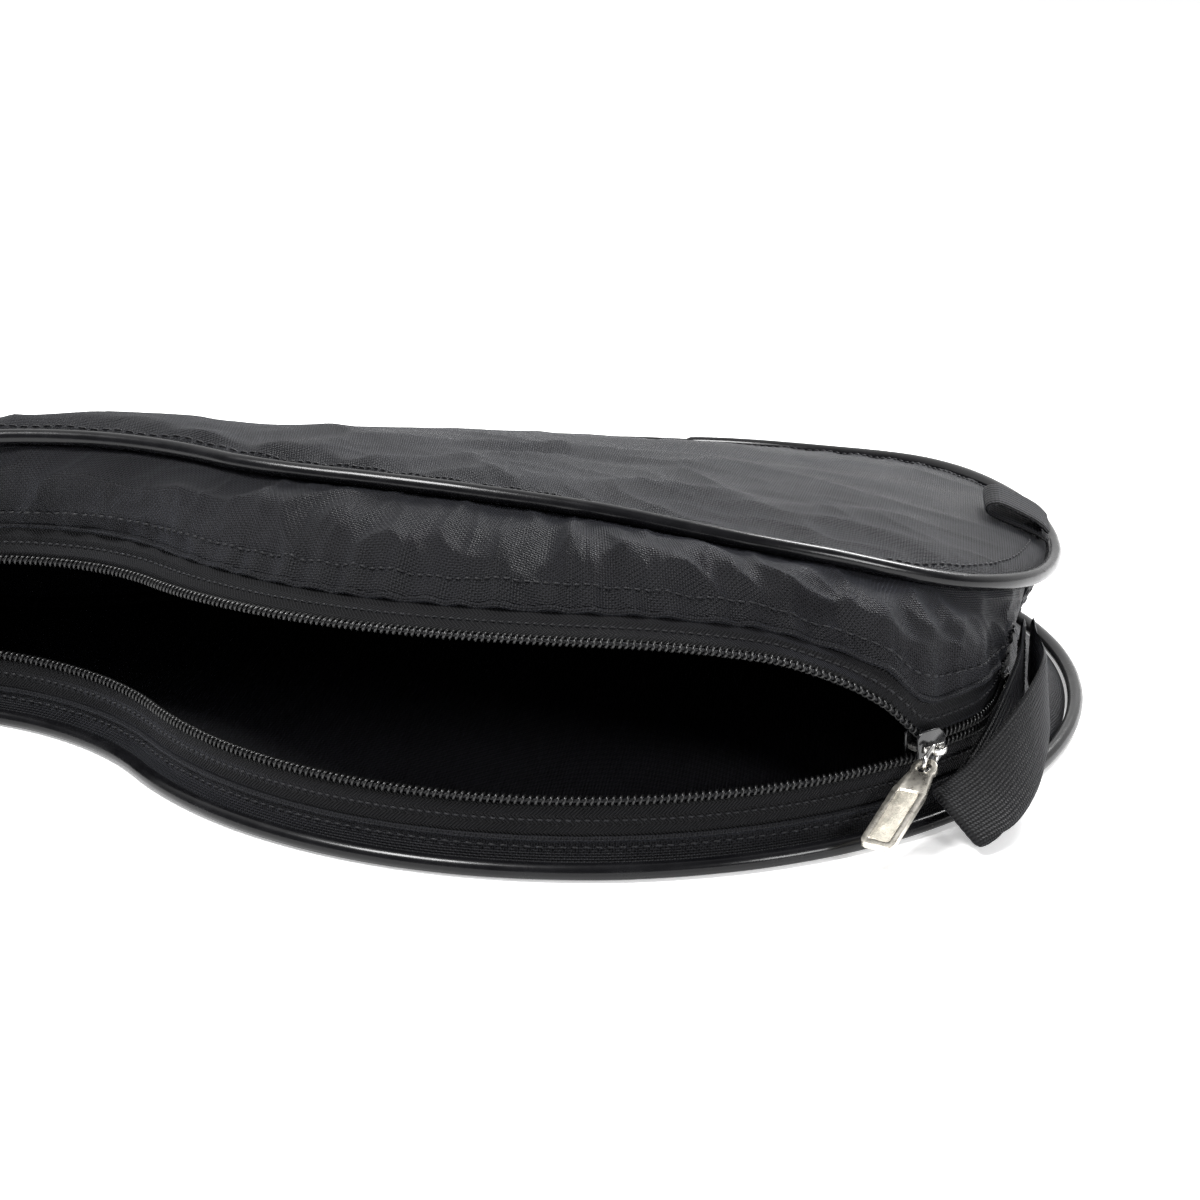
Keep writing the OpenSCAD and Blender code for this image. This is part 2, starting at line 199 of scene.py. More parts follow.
def pipe_centre(s):
    a = around(s)
    k = ramp(60, 140, a) * (1 - ramp(400, 520, a))
    return top_edge(s) + Vector((0.55 * k - 0.85, 0.5 + 0.45 * k)).normalized() * (PIPING_R + GAP)


def notch(s):
    return 8 + 4 * ramp(200, 60, abs(around(s) - 40))


def bowed(a, b, bow, t):
    d = (b - a).normalized()
    return a + (b - a) * t + Vector((d[1], -d[0])) * bow * math.sin(math.pi * t) ** 1.2


def rough(x, y, z=0.0):
    return noise.noise(Vector((x, y, z)))


RIDGE_SHARP, RIDGE_END = 1.9, 0.52


def crease(x, y, z=0.0):
    """Noise with sharp ridges, as in crumpled cloth: 0 to about 1."""
    height = abs(rough(x, y, z))
    return (1 - height * RIDGE_SHARP) ** 3 if height < RIDGE_END else 0.0


# ---- the cloth's own shape: folds, puckers and slack ----
# Folds of the top panel: start x, y, end x, y, width, height
PANEL_FOLDS = [
    (-75, -40, 25, -31, 16, 4.2), (20, -30, 62, -40, 9, 1.6), (2, -84, 40, -50, 6, 2.2),
    (28, -88, 72, -58, 5, 1.7), (50, -90, 88, -70, 4, 1.2), (-30, -70, 8, -50, 7, 2.0),
    (46, -42, 120, -10, 4, 1.5), (62, -36, 132, -30, 7, -1.3), (120, -10, 190, 8, 9, 0.9),
    (96, -72, 168, -52, 6, 0.8), (150, -66, 205, -32, 6, 0.9), (-120, -22, -60, -42, 9, 1.9),
    (-150, 10, -80, 20, 11, 1.6), (-210, -6, -150, 12, 9, 1.2), (-30, 30, 40, 78, 13, 1.6),
    (40, 70, 120, 104, 9, 1.1), (140, 60, 205, 50, 10, 1.2), (100, 20, 180, 46, 14, 1.1),
    (-60, 0, 30, 14, 16, 1.5), (205, -20, 228, 12, 5, 0.8), (-200, 24, -120, -10, 7, -1.1),
]
# Folds of the strip above the zip: outline distance at its middle, slant, width, height
STRIP_FOLDS = [
    (60, -8, 5, 1.4), (76, 10, 6, -1.6), (92, -14, 5, 1.9), (108, 12, 6, 1.6), (120, 26, 4, 2.2),
    (131, 22, 5, -1.8), (146, 30, 6, 2.6), (162, -10, 5, 1.5), (176, 16, 7, 2.0), (193, -6, 4, 1.6),
    (212, 3, 2.6, 1.5), (219, 4, 4, -1.2), (240, -16, 9, 1.2), (268, 14, 8, 1.4), (292, -18, 7, 1.6),
    (322, 20, 9, 1.8), (350, -12, 8, 1.4), (384, 16, 10, 2.0), (420, -20, 9, 1.8), (455, 14, 8, 1.6),
    (492, -10, 7, 1.4), (528, 8, 6, 1.2),
]


def panel_slack(x, y):
    """How far the top panel's cloth stands off its smooth shape."""
    z = 1.1 * rough(x / 70, y / 55, 3.1) + 0.45 * rough(x / 26, y / 22, 7.7)
    z += 0.16 * rough(x / 9, y / 9, 1.4)
    near = ramp(40, -90, y)
    z += (0.35 + 1.2 * near) * crease(x / 52, y / 30 + x / 90, 4.4) - 0.2
    z += 0.5 * near * crease(x / 21, y / 13, 8.8)
    for x0, y0, x1, y1, width, height in PANEL_FOLDS:
        dx, dy = x1 - x0, y1 - y0
        length = math.hypot(dx, dy)
        along = ((x - x0) * dx + (y - y0) * dy) / length
        across = ((x - x0) * -dy + (y - y0) * dx) / length
        across += 2.5 * rough(x / 30, y / 30, 5.0)
        if -0.4 * length < along < 1.4 * length and abs(across) < 3.5 * width:
            ends = bump(along, length / 2, length * 0.5)
            z += height * ends * bump(across, 0, width * (0.7 if across > 0 else 1.2))
    return z


def strip_slack(s, t):
    """How far the strip above the zip stands off its smooth shape, t from seam to hem."""
    d = 0.8 * rough(s / 34, t * 1.3, 2.2) + 0.35 * rough(s / 11, t * 2.2, 4.8)
    d += 1.9 * crease(s / 26 + t * 0.5, t * 1.5 - s / 90, 1.1) + 0.8 * crease(s / 10, t * 2.4, 5.3) - 0.7
    for middle, slant, width, height in STRIP_FOLDS:
        off = s - middle - slant * (t - 0.5)
        if abs(off) < 3 * width:
            d += height * bump(off, 0, width) * math.sin(math.pi * min(1.0, t + 0.12)) ** 0.7
    pucker = 0.5 * math.sin(s / 1.9 + 2 * rough(s / 15, 0.3)) * ramp(0.74, 0.9, t)
    return d * math.sin(math.pi * min(max(t, 0.0), 1.0)) ** 0.5 + pucker + 0.5 * ramp(0.78, 0.84, t)


def wall_slack(s, t):
    """How far the plain wall's cloth stands off its smooth shape."""
    d = 1.5 * rough(s / 40, t * 1.5, 9.0) + 0.7 * rough(s / 14, t * 1.8, 6.1)
    d -= 1.8 * crease(s / 30, t * 1.6 + s / 70, 3.9) + 0.7 * crease(s / 12, t * 2.2, 7.1) - 0.6
    d += 0.9 * math.sin(s / 9.5 + 3 * rough(s / 45, 0.0)) * rough(s / 60, 8.8)
    return d * math.sin(math.pi * t) ** 0.8


# ---- surfaces: each gives a point in millimetres for (s, t) ----
def panel_surface(s, v):
    a, b = top_edge(s), top_edge(TURN - s)
    p, q = at(s, a[0], a[1]), at(TURN - s, b[0], b[1])
    high = BULGE * math.sin(math.pi * min(max(s / HALF, 0.0), 1.0)) ** 0.7
    r = p + (q - p) * v
    edge = min(v, 1 - v) * (q - p).length
    edge = min(edge, 0.45 * s * s / HEAD_R + 1.2 * v * (1 - v) * s, (HALF - s) * 1.2)
    fade = ramp(0, 13, edge)
    pucker = 0.35 * math.sin(s / 2.3 + 3 * rough(s / 22, v)) * ramp(0, 2.5, edge) * (1 - ramp(3, 14, edge))
    r[2] += CLOTH + 0.6 * ramp(0, 5, edge) + high * math.sin(math.pi * v ** 0.75)
    clear = ramp(16, 34, math.hypot(r[0] - HANG_ROOT_X, r[1]))  # 0 under the hanging loop
    loose = panel_slack(r[0], r[1]) * fade + pucker
    r[2] += loose * clear - 0.5 * (1 - clear) * ramp(0, 5, edge)
    return r


def strip_surface(s, t):
    p = bowed(top_edge(s), up_fold(s), UP_BOW * ramp(40, 140, s), t)
    d = (up_fold(s) - top_edge(s)).normalized()
    p = p + Vector((d[1], -d[0])) * strip_slack(s, t) * ramp(ZIP_START, ZIP_START + 8, s)
    return at(s, p[0], p[1])


def wall_surface(s, t):
    p = bowed(top_edge(s), base_edge(), -notch(s), t)
    if s % TURN > HALF / 2:
        calm = ramp(ZIP_END, ZIP_END + 8, s % TURN)
    else:
        calm = 1 - ramp(ZIP_START - 8, ZIP_START, around(s))
    return at(s, p[0] - wall_slack(s, t) * calm, p[1])


def skirt_surface(s, t):
    top, foot = low_fold(s) - Vector((0.3, 0)), base_edge()
    waist = Vector((SEAM_IN + 0.8, 2 * PIPING_R))
    p = top + (waist - top) * min(t * 2, 1) if t < 0.5 else waist + (foot - waist) * (t * 2 - 1)
    ripple = 0.3 * rough(s / 9, t * 2, 3.3) * math.sin(math.pi * t)
    return at(s, p[0] - ripple, p[1])


def tape_between(coil, fold):
    def surface(s, t):
        c, f = coil(s), fold(s)
        d = (f - c).normalized()
        reach = (f - c).length + TAPE_PAST
        p = c + d * (COIL_EDGE + (reach - COIL_EDGE) * (1 - t))
        inner = 0.9 * ramp(0.35, 0.0, t)
        wave = 0.16 * rough(s / 12, t * 2, 1.0)
        return at(s, p[0] + inner + wave + 0.1, p[1])
    return surface


upper_tape = tape_between(up_coil, up_fold)
lower_tape = tape_between(low_coil, low_fold)


# ---- mesh helpers ----
def spaced(a, b, step):
    n = max(2, math.ceil((b - a) / step))
    return [a + (b - a) * k / n for k in range(n + 1)]


def new_object(name, verts, faces, uvs=None):
    mesh = bpy.data.meshes.new(name)
    mesh.from_pydata([Vector(v) * MM for v in verts], [], faces)
    if uvs:
        layer = mesh.uv_layers.new(name="UVMap")
        for loop in mesh.loops:
            layer.data[loop.index].uv = uvs[loop.vertex_index]
    for poly in mesh.polygons:
        poly.use_smooth = True
    obj = bpy.data.objects.new(name, mesh)
    bpy.context.scene.collection.objects.link(obj)
    return obj


def applied(obj):
    """Turns an object's modifiers, or a curve, into its final mesh."""
    bpy.context.view_layer.update()
    graph = bpy.context.evaluated_depsgraph_get()
    mesh = bpy.data.meshes.new_from_object(obj.evaluated_get(graph))
    if obj.type == "MESH":
        obj.modifiers.clear()
        obj.data = mesh
        return obj
    made = bpy.data.objects.new(obj.name + "_mesh", mesh)
    bpy.context.scene.collection.objects.link(made)
    name = obj.name
    bpy.data.objects.remove(obj)
    made.name = name
    return made


def thicken(obj, thick):
    """Gives a sheet its thickness, on the side its faces look away from."""
    m = obj.modifiers.new("thick", "SOLIDIFY")
    m.thickness = thick * MM
    m.offset = -1
    m.use_even_offset = False
    return applied(obj)


def sheet_grid(name, surface, ss, ts, thick, flip=False):
    """A cloth piece over a surface; UVs hold its real size in metres."""
    rows = [[surface(s, t) for t in ts] for s in ss]
    verts = [p for row in rows for p in row]
    m = len(ts)
    middle = m // 2
    along, uvs = 0.0, []
    for i, row in enumerate(rows):
        if i:
            along += (row[middle] - rows[i - 1][middle]).length
        up = 0.0
        for k, p in enumerate(row):
            if k:
                up += (p - row[k - 1]).length
            uvs.append((along * MM, up * MM))
    faces = []
    for i in range(len(rows) - 1):
        for k in range(m - 1):
            f = (i * m + k, i * m + k + 1, (i + 1) * m + k + 1, (i + 1) * m + k)
            faces.append(f[::-1] if flip else f)
    return thicken(new_object(name, verts, faces, uvs), thick)


def sweep(name, path, radius, sides, closed=False):
    """A round cord along points; radius may be a function of the point's number."""
    n = len(path)
    verts, faces, uvs = [], [], []
    along = 0.0
    for i, p in enumerate(path):
        a = path[(i - 1) % n] if closed or i else p
        b = path[(i + 1) % n] if closed or i < n - 1 else p
        t = (b - a).normalized()
        side = Vector((0, 0, 1)).cross(t)
        side = side.normalized() if side.length > 0.05 else Vector((1, 0, 0)).cross(t).normalized()
        up = t.cross(side)
        r = radius(i) if callable(radius) else radius
        if i:
            along += (p - path[i - 1]).length
        for k in range(sides):
            w = 2 * math.pi * k / sides
            verts.append(p + side * math.cos(w) * r + up * math.sin(w) * r)
            uvs.append((along * MM, k / sides * 2 * math.pi * r * MM))
    for i in range(n if closed else n - 1):
        j = (i + 1) % n
        for k in range(sides):
            k2 = (k + 1) % sides
            faces.append((i * sides + k, j * sides + k, j * sides + k2, i * sides + k2))
    if not closed:
        faces += [tuple(range(sides))[::-1], tuple((n - 1) * sides + k for k in range(sides))]
    return new_object(name, verts, faces, uvs)


def joined(name, parts):
    """One mesh from several (verts, faces) lists."""
    verts, faces = [], []
    for v, f in parts:
        base = len(verts)
        verts += v
        faces += [tuple(base + k for k in face) for face in f]
    return new_object(name, verts, faces)


def tube_faces(rings, sides):
    """Faces of a tube with closed ends, whose rings all hold the same number of points."""
    faces = []
    for i in range(rings - 1):
        for k in range(sides):
            k2 = (k + 1) % sides
            faces.append((i * sides + k, i * sides + k2, (i + 1) * sides + k2, (i + 1) * sides + k))
    faces += [tuple(range(sides))[::-1], tuple((rings - 1) * sides + k for k in range(sides))]
    return faces


# Rings of one stitch: place along it, height above the cloth, thickness
STITCH_RINGS = [(0, -0.25, 0.35), (0.18, 0.08, 1), (0.5, 0.16, 1.15), (0.82, 0.08, 1), (1, -0.25, 0.35)]
STITCH_SHARE = 0.72  # the part of each step that shows as thread
THREAD_LIFT = 0.12


def stitch(a, b, out, r=0.26):
    """One stitch of thread from a to b, sunk at its ends."""
    d = b - a
    side = d.cross(out).normalized()
    verts = []
    for t, lift, fat in STITCH_RINGS:
        c = a + d * t + out * lift
        for j in range(6):
            w = math.pi * j / 3
            verts.append(c + side * math.cos(w) * r * fat + out * math.sin(w) * r * fat)
    return verts, tube_faces(len(STITCH_RINGS), 6)


# ---- materials ----
def material(name, color, roughness, metallic=0.0, sheen=0.0, coat=0.0, specular=0.5):
    mat = bpy.data.materials.new(name)
    mat.use_nodes = True
    shader = mat.node_tree.nodes["Principled BSDF"]
    shader.inputs["Base Color"].default_value = (*color, 1)
    shader.inputs["Roughness"].default_value = roughness
    shader.inputs["Metallic"].default_value = metallic
    shader.inputs["Sheen Weight"].default_value = sheen
    shader.inputs["Sheen Roughness"].default_value = 0.35
    shader.inputs["Sheen Tint"].default_value = (0.75, 0.8, 1.0, 1)
    shader.inputs["Coat Weight"].default_value = coat
    shader.inputs["Coat Roughness"].default_value = 0.12
    shader.inputs["Specular IOR Level"].default_value = specular
    return mat, mat.node_tree, shader


def node(tree, kind, links=(), **values):
    n = tree.nodes.new(kind)
    for key, value in values.items():
        if hasattr(n, key):
            setattr(n, key, value)
        else:
            n.inputs[key].default_value = value
    for source, target in links:
        tree.links.new(source, n.inputs[target])
    return n


def maths(tree, operation, *inputs):
    n = tree.nodes.new("ShaderNodeMath")
    n.operation = operation
    for k, value in enumerate(inputs):
        if isinstance(value, (int, float)):
            n.inputs[k].default_value = value
        else:
            tree.links.new(value, n.inputs[k])
    return n.outputs[0]


def uv_axes(tree):
    """The two texture coordinates, in metres on the cloth."""
    uv = node(tree, "ShaderNodeUVMap")
    uv.uv_map = "UVMap"
    split = node(tree, "ShaderNodeSeparateXYZ", [(uv.outputs[0], 0)])
    return split.outputs[0], split.outputs[1]


def wave(tree, value, pitch):
    """A smooth wave from 0 to 1 that repeats every pitch metres."""
    angle = maths(tree, "MULTIPLY", value, 2 * math.pi / pitch)
    return maths(tree, "MULTIPLY_ADD", maths(tree, "SINE", angle), 0.5, 0.5)


def noise_at(tree, scale, detail=3.0, roughness=0.5):
    coord = node(tree, "ShaderNodeTexCoord")
    n = node(tree, "ShaderNodeTexNoise", [(coord.outputs["Object"], "Vector")])
    n.inputs["Scale"].default_value = scale
    n.inputs["Detail"].default_value = detail
    n.inputs["Roughness"].default_value = roughness
    return n.outputs["Fac"]


def ramp_color(tree, value, low, high, dark, light):
    r = node(tree, "ShaderNodeValToRGB", [(value, 0)])
    r.color_ramp.elements[0].position = low
    r.color_ramp.elements[1].position = high
    r.color_ramp.elements[0].color = (*dark, 1)
    r.color_ramp.elements[1].color = (*light, 1)
    return r.outputs[0]


def tint(tree, shader, value, low, high, dark, light):
    """Colours a surface from dark to light as the value goes from low to high."""
    tree.links.new(ramp_color(tree, value, low, high, dark, light), shader.inputs["Base Color"])


def bump_into(tree, shader, height, strength, distance, before=None):
    b = node(tree, "ShaderNodeBump", [(height, "Height")], Strength=strength)
    b.inputs["Distance"].default_value = distance
    if before:
        tree.links.new(before, b.inputs["Normal"])
    tree.links.new(b.outputs[0], shader.inputs["Normal"])
    return b.outputs[0]


def cloth_material(name, dark, light, pitch=0.0007, sheen=0.04, roughness=0.5):
    mat, tree, shader = material(name, dark, roughness, sheen=sheen, specular=0.16)
    u, v = uv_axes(tree)
    wu, wv = wave(tree, u, pitch), wave(tree, v, pitch)
    twist = wave(tree, maths(tree, "ADD", u, v), pitch * 2)
    over = maths(tree, "MULTIPLY", maths(tree, "ADD", wu, wv), 0.5)
    weave = maths(tree, "MULTIPLY_ADD", twist, 0.35, over)
    patch = noise_at(tree, 38, 5, 0.6)
    fuzz = noise_at(tree, 900, 2, 0.5)
    grain = maths(tree, "MULTIPLY_ADD", patch, 0.35, maths(tree, "MULTIPLY", fuzz, 0.1))
    # Raised threads of the weave are coloured lighter and its hollows darker: painted highlight and painted
    # shade; the patches and fuzz in grain are random tone of the cloth.
    tone = maths(tree, "MULTIPLY_ADD", weave, 0.6, grain)
    tint(tree, shader, tone, 0.35, 0.95, dark, light)
    shine = maths(tree, "MULTIPLY_ADD", patch, 0.22, roughness - 0.1)
    tree.links.new(shine, shader.inputs["Roughness"])
    slow = bump_into(tree, shader, noise_at(tree, 150, 4, 0.5), 0.1, 0.0006)
    bump_into(tree, shader, weave, 0.9, 0.0004, slow)
    return mat


def webbing_material():
    mat, tree, shader = material("webbing_black", (0.006, 0.006, 0.0065), 0.6, sheen=0.04, specular=0.18)
    u, v = uv_axes(tree)
    ribs = wave(tree, v, 0.0011)
    picks = wave(tree, maths(tree, "ADD", u, maths(tree, "MULTIPLY", ribs, 0.0003)), 0.0009)
    height = maths(tree, "MULTIPLY_ADD", picks, 0.6, ribs)
    # Raised ribs and picks are coloured lighter and the grooves darker: painted highlight and painted shade
    # on the weave.
    tone = maths(tree, "MULTIPLY", height, 0.6)
    tint(tree, shader, tone, 0.2, 1.0, (0.0015, 0.0015, 0.0018), (0.013, 0.013, 0.014))
    bump_into(tree, shader, height, 0.9, 0.00035)
    return mat


def tape_material():
    mat, tree, shader = material("zip_tape_black", (0.005, 0.005, 0.005), 0.68, sheen=0.03, specular=0.15)
    u, v = uv_axes(tree)
    zig = maths(tree, "PINGPONG", v, 0.0022)
    bone = wave(tree, maths(tree, "ADD", u, zig), 0.0010)
    # The herringbone's raised ribs are coloured lighter and its grooves darker: painted highlight and
    # painted shade.
    tint(tree, shader, bone, 0.2, 1.0, (0.0015, 0.0015, 0.0018), (0.009, 0.009, 0.01))
    bump_into(tree, shader, bone, 0.8, 0.0003)
    return mat


def pvc_material():
    mat, tree, shader = material("piping_pvc", (0.003, 0.003, 0.0035), 0.18, coat=0.1, specular=0.24)
    smear = noise_at(tree, 120, 4, 0.6)
    tree.links.new(maths(tree, "MULTIPLY_ADD", smear, 0.22, 0.14), shader.inputs["Roughness"])
    tint(tree, shader, smear, 0.3, 0.8, (0.002, 0.002, 0.0025), (0.006, 0.006, 0.007))
    bump_into(tree, shader, smear, 0.15, 0.0004)
    return mat


def thread_material():
    mat, tree, shader = material("thread_black", (0.01, 0.01, 0.011), 0.5, sheen=0.1, specular=0.3)
    twist = noise_at(tree, 2600, 1, 0.5)
    tint(tree, shader, twist, 0.3, 0.7, (0.002, 0.002, 0.0022), (0.014, 0.014, 0.016))
    return mat


def nylon_material():
    mat, tree, shader = material("coil_nylon", (0.004, 0.004, 0.004), 0.28, specular=0.5)
    grain = noise_at(tree, 700, 2, 0.5)
    tree.links.new(maths(tree, "MULTIPLY_ADD", grain, 0.2, 0.2), shader.inputs["Roughness"])
    tint(tree, shader, grain, 0.3, 0.8, (0.003, 0.003, 0.003), (0.01, 0.01, 0.01))
    return mat


def metal_material(name, dark, light, roughness, grit=0.0):
    mat, tree, shader = material(name, light, roughness, metallic=1.0)
    scuff = noise_at(tree, 420, 5, 0.65)
    tint(tree, shader, scuff, 0.3, 0.7, dark, light)
    tree.links.new(maths(tree, "MULTIPLY_ADD", scuff, 0.2, roughness - 0.08), shader.inputs["Roughness"])
    fine = noise_at(tree, 2600 if grit else 300, 2, 0.6)
    bump_into(tree, shader, fine, grit or 0.08, 0.0003 if grit else 0.0001)
    return mat


def enamel_material():
    mat, tree, shader = material("slider_enamel_black", (0.02, 0.02, 0.021), 0.22, coat=0.6)
    geo = node(tree, "ShaderNodeNewGeometry")
    grain = maths(tree, "MULTIPLY", noise_at(tree, 1500, 3), 0.05)
    edge = maths(tree, "ADD", geo.outputs["Pointiness"], grain)
    # The sharp edges are painted highlights: they are made light and metallic to stand for the glints along
    # the slider's edges, with a little random grain in the mask.
    edge_highlight = ramp_color(tree, edge, 0.56, 0.62, (0, 0, 0), (1, 1, 1))
    tint(tree, shader, edge_highlight, 0.2, 0.8, (0.014, 0.014, 0.015), (0.6, 0.59, 0.56))
    tree.links.new(edge_highlight, shader.inputs["Metallic"])
    return mat


SHELL = cloth_material("shell_cloth", (0.0008, 0.0008, 0.001), (0.0135, 0.0138, 0.0165))
LINING = cloth_material("lining_cloth", (0.002, 0.002, 0.0025), (0.009, 0.009, 0.01), 0.0009, 0.02, 0.62)
WEB, TAPE, PVC = webbing_material(), tape_material(), pvc_material()
THREAD, NYLON, ENAMEL = thread_material(), nylon_material(), enamel_material()
NICKEL = metal_material("nickel_bright", (0.55, 0.54, 0.52), (0.82, 0.81, 0.78), 0.2)
TAB_METAL = metal_material("tab_nickel", (0.52, 0.49, 0.43), (0.78, 0.74, 0.66), 0.27)
TAB_SAND = metal_material("tab_sanded", (0.36, 0.34, 0.29), (0.66, 0.62, 0.54), 0.55, 0.9)


def place(obj, mat, body, slot, *nodes):
    obj.data.materials.clear()
    obj.data.materials.append(mat)
    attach(obj, body)
    if nodes:
        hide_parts(*nodes)
    return obj


# ---- cloth ----
def sheet_of_case(name, surface, ss, ts, body, slot, node, mat=SHELL, thick=CLOTH, flip=True):
    return place(sheet_grid(name, surface, ss, ts, thick, flip), mat, body, slot, node)


def steps(n):
    return [k / n for k in range(n + 1)]


crowded = [0.5 - 0.5 * math.cos(math.pi * k / 120) for k in range(121)]
top_panel = sheet_of_case("top_panel_cloth", panel_surface, spaced(0.6, HALF - 0.6, 2.2), crowded,
                          "shell", "shell_fabric", "top_panel", flip=False)
strip_ss = spaced(ZIP_START + 0.5, ZIP_END - 0.5, 1.2)
sheet_of_case("upper_strip_cloth", strip_surface, strip_ss, steps(26), "shell", "shell_fabric",
              "upper_zip_gusset")
sheet_of_case("lower_strip_cloth", skirt_surface, strip_ss, steps(10), "shell", "shell_fabric",
              "lower_zip_gusset")
wall_ss = spaced(ZIP_END + 0.5, TURN + ZIP_START - 0.5, 2.4)
sheet_of_case("far_wall_cloth", wall_surface, wall_ss, steps(24), "shell", "shell_fabric", "far_gusset")


def floor_surface(s, v):
    p, q = at(s, SEAM_IN, CLOTH), at(TURN - s, SEAM_IN, CLOTH)
    r = p + (q - p) * v
    r[2] += 0.5 * (rough(r[0] / 40, r[1] / 40, 6.6) + 0.6) * ramp(0, 20, min(v, 1 - v) * (q - p).length)
    return r


sheet_of_case("base_panel_cloth", floor_surface, spaced(0.6, HALF - 0.6, 6), steps(40),
              "shell", "shell_fabric", "base_panel", LINING, CLOTH - 0.05, False)


# ---- folded edges of the two strips, where the tape comes out ----
def fold_cord(name, surface, t):
    path = [surface(s, t) for s in strip_ss]
    radius = [0.82 + 0.14 * rough(s / 5, 2.0) for s in strip_ss]
    place(sweep(name, path, lambda i: radius[i], 8), SHELL, "shell", "shell_fabric")


fold_cord("upper_strip_fold", strip_surface, 1.0)
fold_cord("lower_strip_fold", skirt_surface, 0.0)


# ---- piping ----
def piping(name, centre, node):
    ss = spaced(0, TURN, 2.0)[:-1]
    radius = [PIPING_R * (1 + 0.03 * rough(s / 16, 1.5)) for s in ss]
    cord = sweep(name, [centre(s) for s in ss], lambda i: radius[i], 16, True)
    place(cord, PVC, "shell", "piping", node)


piping("top_piping_cord", lambda s: at(s, *pipe_centre(s)), "top_piping")
piping("base_piping_cord", lambda s: at(s, -LIP_R, PIPING_R), "base_piping")


# ---- binding tape over the raw edges inside ----
def bind_base(s, t):
    rise = 0.25 * rough(s / 8, t * 3, 4.0)
    return at(s, SEAM_IN + 5 + 8 * t, CLOTH + 2.1 + rise)


def bind_top(s, t):
    p = bowed(top_edge(s), base_edge(), -notch(s), 0.04 + 0.2 * t)
    return at(s, p[0] + 2.6 + 0.9 * t, p[1] - 1.2 + 0.2 * rough(s / 8, t * 3, 4.0))


sheet_of_case("base_binding_tape", bind_base, spaced(6, TURN - 6, 4), steps(4), "shell", "binding",
              "base_binding", TAPE, 0.8, False)
sheet_of_case("top_binding_tape", bind_top, spaced(ZIP_END + 6, TURN + ZIP_START - 6, 4), steps(4), "shell",
              "binding", "top_binding", TAPE, 0.8)


# ---- zip tapes ----
tape_ss = spaced(ZIP_START + 1, ZIP_END - 1, 1.6)
sheet_of_case("upper_tape", upper_tape, tape_ss, steps(8), "shell", "zip_tape", "upper_zip_tape",
              TAPE, 0.6)
sheet_of_case("lower_tape", lower_tape, tape_ss, steps(8), "shell", "zip_tape", "lower_zip_tape",
              TAPE, 0.6, False)


# ---- zip coils: one wire wound along each tape's edge ----
def coil_frame(s, coil, fold):
    """The coil's middle, and the directions up along the tape and out of the case."""
    c, f = coil(s), fold(s)
    d = (f - c).normalized()
    up = d if d[1] > 0 else -d
    out = Vector((-up[1], up[0]))
    nx, ny = plan(s)[2:]
    lift = Vector((-up[0] * nx, -up[0] * ny, up[1]))
    side = Vector((-out[0] * nx, -out[0] * ny, out[1]))
    return at(s, c[0], c[1]), lift, side


COIL_PITCH, COIL_WIRE = 1.75, 0.42
COIL_FIRST, COIL_LAST = ZIP_START + 14.2, ZIP_END - 14.2
TURN_POINTS, WIRE_SIDES = 12, 6


def wound_path(coil, fold, phase):
    """The wire's middle line, and at each point the direction away from the coil's middle."""
    wide, deep = COIL_W / 2 - COIL_WIRE + 0.12, COIL_H / 2 - COIL_WIRE
    path, rays = [], []
    for i in range(int((COIL_LAST - COIL_FIRST) / COIL_PITCH * TURN_POINTS) + 1):
        middle, lift, side = coil_frame(COIL_FIRST + i * COIL_PITCH / TURN_POINTS, coil, fold)
        w = 2 * math.pi * i / TURN_POINTS + phase
        cw, sw = math.cos(w), math.sin(w)
        flat = abs(cw) ** 0.75 * math.copysign(1, cw)
        path.append(middle + lift * wide * flat + side * deep * sw)
        rays.append((lift * cw + side * sw).normalized())
    return path, rays


def wound_coil(name, coil, fold, node, phase):
    path, rays = wound_path(coil, fold, phase)
    last = len(path) - 1
    verts = []
    for i, (p, ray) in enumerate(zip(path, rays)):
        t = (path[min(i + 1, last)] - path[max(i - 1, 0)]).normalized()
        across = t.cross(ray).normalized()
        ray = across.cross(t)
        for k in range(WIRE_SIDES):
            w = 2 * math.pi * k / WIRE_SIDES
            verts.append(p + ray * math.cos(w) * COIL_WIRE + across * math.sin(w) * COIL_WIRE)
    wire = new_object(name, verts, tube_faces(len(path), WIRE_SIDES))
    place(wire, NYLON, "shell", "zip_coil", node)
    core = [coil_frame(s, coil, fold)[0] for s in spaced(COIL_FIRST, COIL_LAST, 2.5)]
    place(sweep(name + "_core", core, 0.5, 6), THREAD, "shell", "zip_coil")


wound_coil("upper_coil", up_coil, up_fold, "upper_zip_coil", 0.0)
wound_coil("lower_coil", low_coil, low_fold, "lower_zip_coil", math.pi)


# ---- stitching ----
def tree_of(obj):
    return BVHTree.FromPolygons([v.co for v in obj.data.vertices], [p.vertices for p in obj.data.polygons])


UP = Vector((0, 0, 1))
SEAM_STEP, DROP_FROM = 3.0, 0.04


def laid_row(name, points, target):
    """A row of stitches laid on a piece: points are dropped straight down onto it."""
    hits = []
    for p in points:
        hit, normal = target.ray_cast(p * MM + UP * DROP_FROM, -UP, 2 * DROP_FROM)[:2]
        hits.append((hit / MM, normal) if hit else None)
    parts = []
    for a, b in zip(hits, hits[1:]):
        if a and b and (b[0] - a[0]).length < 2 * SEAM_STEP:
            out = a[1] if a[1].dot(UP) > 0 else -a[1]
            end = a[0] + (b[0] - a[0]) * STITCH_SHARE
            parts.append(stitch(a[0] + out * THREAD_LIFT, end + out * THREAD_LIFT, out))
    place(joined(name, parts), THREAD, "shell", "shell_fabric")


seam_ss = [s for s in spaced(0, TURN, SEAM_STEP) if abs(around(s)) > 14]
seam = [at(s, top_edge(s)[0] + 4.6, top_edge(s)[1]) for s in seam_ss]
laid_row("top_panel_stitches", seam, tree_of(top_panel))


